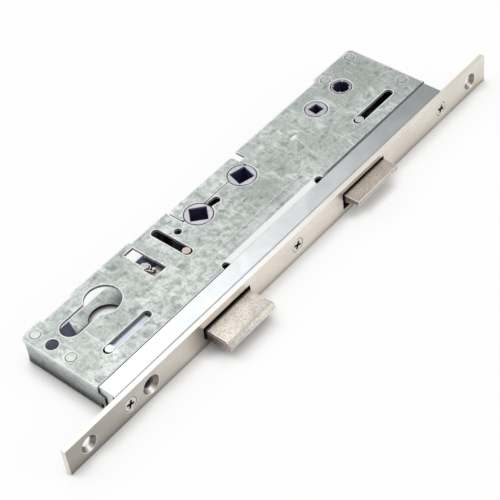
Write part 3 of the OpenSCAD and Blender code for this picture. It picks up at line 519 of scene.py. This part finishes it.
def sanded(name, pale, dark, grain, depth, rough=0.42, edge=0.35, bright=0.7, top=None, nose=None,
           side=None, rows=None):
    """Cast or blasted metal with a fine pitted skin.

    The painted light of its top and nose runs along X. The painted shade of its -X side, and of its rows
    back into its opening, runs along Y. Where the side has painted shade, the rebates beside the top get
    it too.
    """
    s = Shader(name, metallic=0.8, roughness=rough)
    pits = s.noise(grain, detail=2)
    clouds = s.noise(9, detail=3)
    base = s.blend(s.ramp(clouds, 0.3, 0.7, 0.0, 0.5), pale, dark)
    base = s.blend(s.ramp(pits, 0.48, 0.66, 0.0, 0.6), base, dark)
    # Painted light on the top and on the nose
    if top:
        base = s.toned(base, s.along("X", top), s.level())
    if nose:
        base = s.toned(base, s.along("X", nose), s.faces("Y", -0.3, -0.6))
    # Painted shade in the rebates and on the -X side
    if side:
        rebate = s.times(s.faces("Z", 0.6, 0.9), s.within(Z=REBATE_Z))
        base = s.blend(s.times(rebate, 0.95), base, REBATE_SHADE)
        base = s.toned(base, s.toned(s.along("Y", side), SIDE_SHADE_TINT), s.faces("X", -0.5, -0.8))
    skin = s.wear_and_painted_light(base, CREAM, edge, bright, reach=1.0)
    # Painted shade on the rows back into the opening
    s.colour(s.toned(skin, s.along("Y", rows)) if rows else skin)
    s.roughness(s.ramp(pits, 0.3, 0.7, rough - 0.06, rough + 0.08))
    s.bump(pits, depth, edge=0.25)
    return s.material


def riveted(name, pale, dark, ring, width=0.5, bores=()):
    """Turned or pressed metal with a ring of painted shade along its round edge, and painted shade in its
    bores.
    """
    s = Shader(name, metallic=0.75, roughness=0.4)
    base = s.blend(s.ramp(s.noise(1.6, detail=4), 0.35, 0.65), dark, pale)
    # Painted shade in a ring along the round edge, and in the bores
    base = s.blend(s.ramp(s.edges(width), 0.0, 1.0, 0.0, ring), base, PAINTED_SHADE)
    deep = s.within(soft=0.6, Z=CASE_INSIDE_Z)
    for x, half in bores:
        inside = s.times(deep, s.within(X=(x - half, x + half), Y=(-half, half)))
        base = s.blend(s.times(inside, 0.95), base, BORE_SHADE)
    s.colour(base)
    s.bump(s.noise(0.5, detail=3), 0.008)
    return s.material


def screw_head(name):
    """Bright screw with painted shade in its cross recess and along its rim."""
    s = Shader(name, metallic=0.8, roughness=0.34)
    base = s.blend(s.ramp(s.noise(0.9, detail=3), 0.35, 0.65), SCREW_DARK, SCREW_PALE)
    # Painted shade along the rim, and in the cross recess
    base = s.blend(s.ramp(s.edges(0.6), 0.0, 1.0, 0.0, 0.75), base, SCREW_RIM_SHADE)
    base = s.blend(s.past(s.axis("Y"), *CROSS_Y), base, SCREW_CROSS_SHADE)
    s.colour(base)
    s.bump(s.noise(0.5), 0.006, edge=0.2)
    return s.material


def dark_metal(name, colour):
    """Dull metal with clouds of half its brightness."""
    s = Shader(name, metallic=0.6, roughness=0.55)
    s.colour(s.blend(s.ramp(s.noise(5), 0.4, 0.6), colour, tuple(0.5 * c for c in colour[:3]) + (1,)))
    s.bump(s.noise(0.8), 0.02)
    return s.material


# Finishes

# One for each material slot that the record names
FINISHES = {
    "galvanised": galvanised("galvanised", COVER_COLOURS),
    # The strip's tones along X are a painted reflection, brightest towards the lower end
    "zinc_plate": brushed("zinc_strip", srgb(228, 232, 234), srgb(212, 217, 220), (0.3, 1, 1),
                          rough=(0.28, 0.38), streaks=0.2, fine=0.5, tones=STRIP_REFLECTION_TONES),
    "faceplate_steel": plate_nickel("faceplate_nickel"),
    "screw_steel": screw_head("screw_metal"),
    "rivet_steel": riveted("rivet_metal", srgb(208, 215, 212), srgb(184, 192, 188), 0.6),
    "dark_steel": dark_metal("inner_steel", srgb(52, 50, 62)),
    "spring_steel": brushed("spring_wire", CREAM, srgb(226, 220, 210), (1, 1, 0.2), edge=0, metallic=0.5),
    "latch_metal": sanded("latch_skin", srgb(212, 202, 189), srgb(140, 130, 120), 0.7, 0.02, edge=0.6,
                          bright=1.0, side=LATCH_SIDE_SHADE, rows=LATCH_OPENING_SHADE),
    "deadbolt_metal": sanded("deadbolt_skin", srgb(242, 237, 228), srgb(176, 166, 154), 0.8, 0.02,
                             top=BOLT_TOP_LIGHT, nose=BOLT_NOSE_LIGHT, side=BOLT_SIDE_SHADE, rows=BOLT_OPENING_SHADE),
    "brass_pin": sanded("brass_pin", srgb(214, 198, 190), srgb(182, 165, 158), 0.4, 0.01, rough=0.4),
    "yellow_zinc": brushed("yellow_zinc", srgb(206, 198, 192), srgb(168, 160, 156), (1, 0.1, 1)),
    "cast_zinc": riveted("cast_zinc", srgb(212, 212, 220), srgb(190, 190, 200), 0.95, width=0.6,
                         bores=HUB_BORES),
}

# Nodes that look different from the rest of their slot
pin_metal = sanded("pin_metal", srgb(228, 231, 233), srgb(192, 197, 201), 0.8, 0.01, rough=0.34)
# A darker copy of the galvanised sheet, painted shade for the parts inside the case
shaded_inner_sheet = galvanised("shaded_inner_sheet", INNER_SHADED_COLOURS)
SPECIAL = {
    "cover_plate": cover_sheet("cover_sheet", COVER_COLOURS),
    "case_tray": tray_sheet("tray_sheet", COVER_COLOURS),
    "drive_slide": brushed("slide_zinc", srgb(214, 219, 230), srgb(186, 192, 206), (0.1, 1, 1),
                           metallic=0.6),
    "lower_drive_pin": pin_metal,
    "upper_drive_pin": pin_metal,
    "spring_post": sanded("post_metal", srgb(200, 200, 202), srgb(150, 150, 154), 0.7, 0.01),
    "latch_tail": shaded_inner_sheet,
    "deadbolt_tail": shaded_inner_sheet,
    "snib_bar": shaded_inner_sheet,
    "latch_spring_seat": shaded_inner_sheet,
}
SLOT_OF = {part["node"]: part["material_slot"] for part in frame["record"]["subparts"]}

for name, obj in nodes.items():
    finish = SPECIAL.get(name, FINISHES[SLOT_OF[name]])
    obj.data.materials.clear()
    obj.data.materials.append(finish)


# Two springs: copies of their solids that stand in for them, with the same shape


def copied(name, node):
    """A copy of a node's solid that stands in for it in the visual model."""
    solid = nodes[node]
    piece = bpy.data.objects.new(name, solid.data.copy())
    piece.matrix_world = solid.matrix_world.copy()
    bpy.context.scene.collection.objects.link(piece)
    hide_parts(node)
    return piece


# The latch's spring, which the latch presses together towards the seat, rides with the case
latch_coil = copied("latch_coil", "latch_spring")
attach(latch_coil, "case")
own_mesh(latch_coil)

# The slider's spring, whose long leg the slider's peg takes along, stays fixed in place
slider_coil = copied("slider_coil", "slider_spring")
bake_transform(slider_coil)


# Camera

CAMERA_PLACE = Vector((-265.56, -365.39, 495.43)) * MM
CAMERA_AZIMUTH = math.radians(-44.265)
CAMERA_ELEVATION = math.radians(46.067)
CAMERA_ROLL = math.radians(-7.945)
CAMERA_LENS = 111.34
CAMERA_SENSOR = 36

turn = Matrix.Rotation(CAMERA_AZIMUTH, 4, "Z")
tip = Matrix.Rotation(math.pi / 2 - CAMERA_ELEVATION, 4, "X")
roll = Matrix.Rotation(CAMERA_ROLL, 4, "Z")
camera = bpy.data.objects.new("camera", bpy.data.cameras.new("camera"))
camera.data.lens = CAMERA_LENS
camera.data.sensor_width = CAMERA_SENSOR
camera.matrix_world = Matrix.Translation(CAMERA_PLACE) @ turn @ tip @ roll
bpy.context.scene.collection.objects.link(camera)
bpy.context.scene.camera = camera


# Floor and light

# Half the floor's width in metres, and its depth below the lowest point in millimetres
FLOOR_HALF = 6.0
FLOOR_GAP = 0.02
# Share of the open floor's look that is plain white, and how near the object in millimetres it fades out
FLOOR_GLOW = 0.88
CONTACT_REACH = 9
UNDER_REACH = 30
# Strength of the light from all round, of which a white background shows as 1
SKY_LIGHT = 0.54
LAMP_WHITE = (1.0, 0.99, 0.97)
KEY_WHITE = (1.0, 0.99, 0.98)


def floor():
    """A floor with soft shadows, otherwise plain white to the camera and in reflections."""
    half = FLOOR_HALF
    level = cad_bounds[0][2] - FLOOR_GAP * MM
    mesh = bpy.data.meshes.new("floor")
    corners = [(-half, -half, level), (half, -half, level), (half, half, level), (-half, half, level)]
    mesh.from_pydata(corners, [], [(0, 1, 2, 3)])
    obj = bpy.data.objects.new("floor", mesh)
    bpy.context.scene.collection.objects.link(obj)
    s = Shader("floor_white", metallic=0.0, roughness=0.9)
    s.colour(FLOOR_WHITE)
    s.principled.inputs["Specular IOR Level"].default_value = 0.0
    path = s.add("ShaderNodeLightPath")
    seen = s.either(path.outputs["Is Camera Ray"], path.outputs["Is Glossy Ray"])
    clear = s.ramp(s.openness(CONTACT_REACH), 0.56, 0.91, 0.0, FLOOR_GLOW)
    open_floor = s.times(clear, s.ramp(s.openness(UNDER_REACH), 0.10, 0.34))
    glow = s.add("ShaderNodeEmission")
    glow.inputs["Color"].default_value = WHITE
    mixed = s.add("ShaderNodeMixShader")
    s.join(s.times(seen, open_floor), mixed.inputs[0])
    s.join(s.principled.outputs[0], mixed.inputs[1])
    s.join(glow.outputs[0], mixed.inputs[2])
    s.join(mixed.outputs[0], s.tree.nodes["Material Output"].inputs["Surface"])
    mesh.materials.append(s.material)


def softbox(name, place, target, width, height, power, colour):
    """A rectangular lamp at a place, aimed at a target, all in metres and watts."""
    lamp = bpy.data.lights.new(name, "AREA")
    lamp.shape = "RECTANGLE"
    lamp.size = width
    lamp.size_y = height
    lamp.energy = power
    lamp.color = colour
    obj = bpy.data.objects.new(name, lamp)
    obj.location = place
    obj.rotation_euler = (Vector(target) - Vector(place)).to_track_quat("-Z", "Y").to_euler()
    bpy.context.scene.collection.objects.link(obj)


def sky(strength):
    """White light of some strength from all round, that the camera sees as plain white."""
    world = bpy.data.worlds.new("studio")
    world.use_nodes = True
    bpy.context.scene.world = world
    tree = world.node_tree
    background = tree.nodes["Background"]
    path = tree.nodes.new("ShaderNodeLightPath")
    level = tree.nodes.new("ShaderNodeMapRange")
    level.inputs["To Min"].default_value = strength
    level.inputs["To Max"].default_value = 1.0
    tree.links.new(path.outputs["Is Camera Ray"], level.inputs["Value"])
    tree.links.new(level.outputs["Result"], background.inputs["Strength"])
    background.inputs["Color"].default_value = WHITE


floor()
sky(SKY_LIGHT)
softbox("key", (0.33, 0.62, 0.95), (0.02, -0.02, 0), 0.65, 0.65, 1.9, KEY_WHITE)
softbox("back", (-0.35, 1.0, 1.1), (0.06, 0, 0), 0.7, 0.7, 7.0, LAMP_WHITE)
softbox("front", (0.5, -1.1, 0.8), (0.1, 0, 0), 0.8, 0.6, 5.0, LAMP_WHITE)

bpy.context.scene.view_settings.view_transform = "Standard"
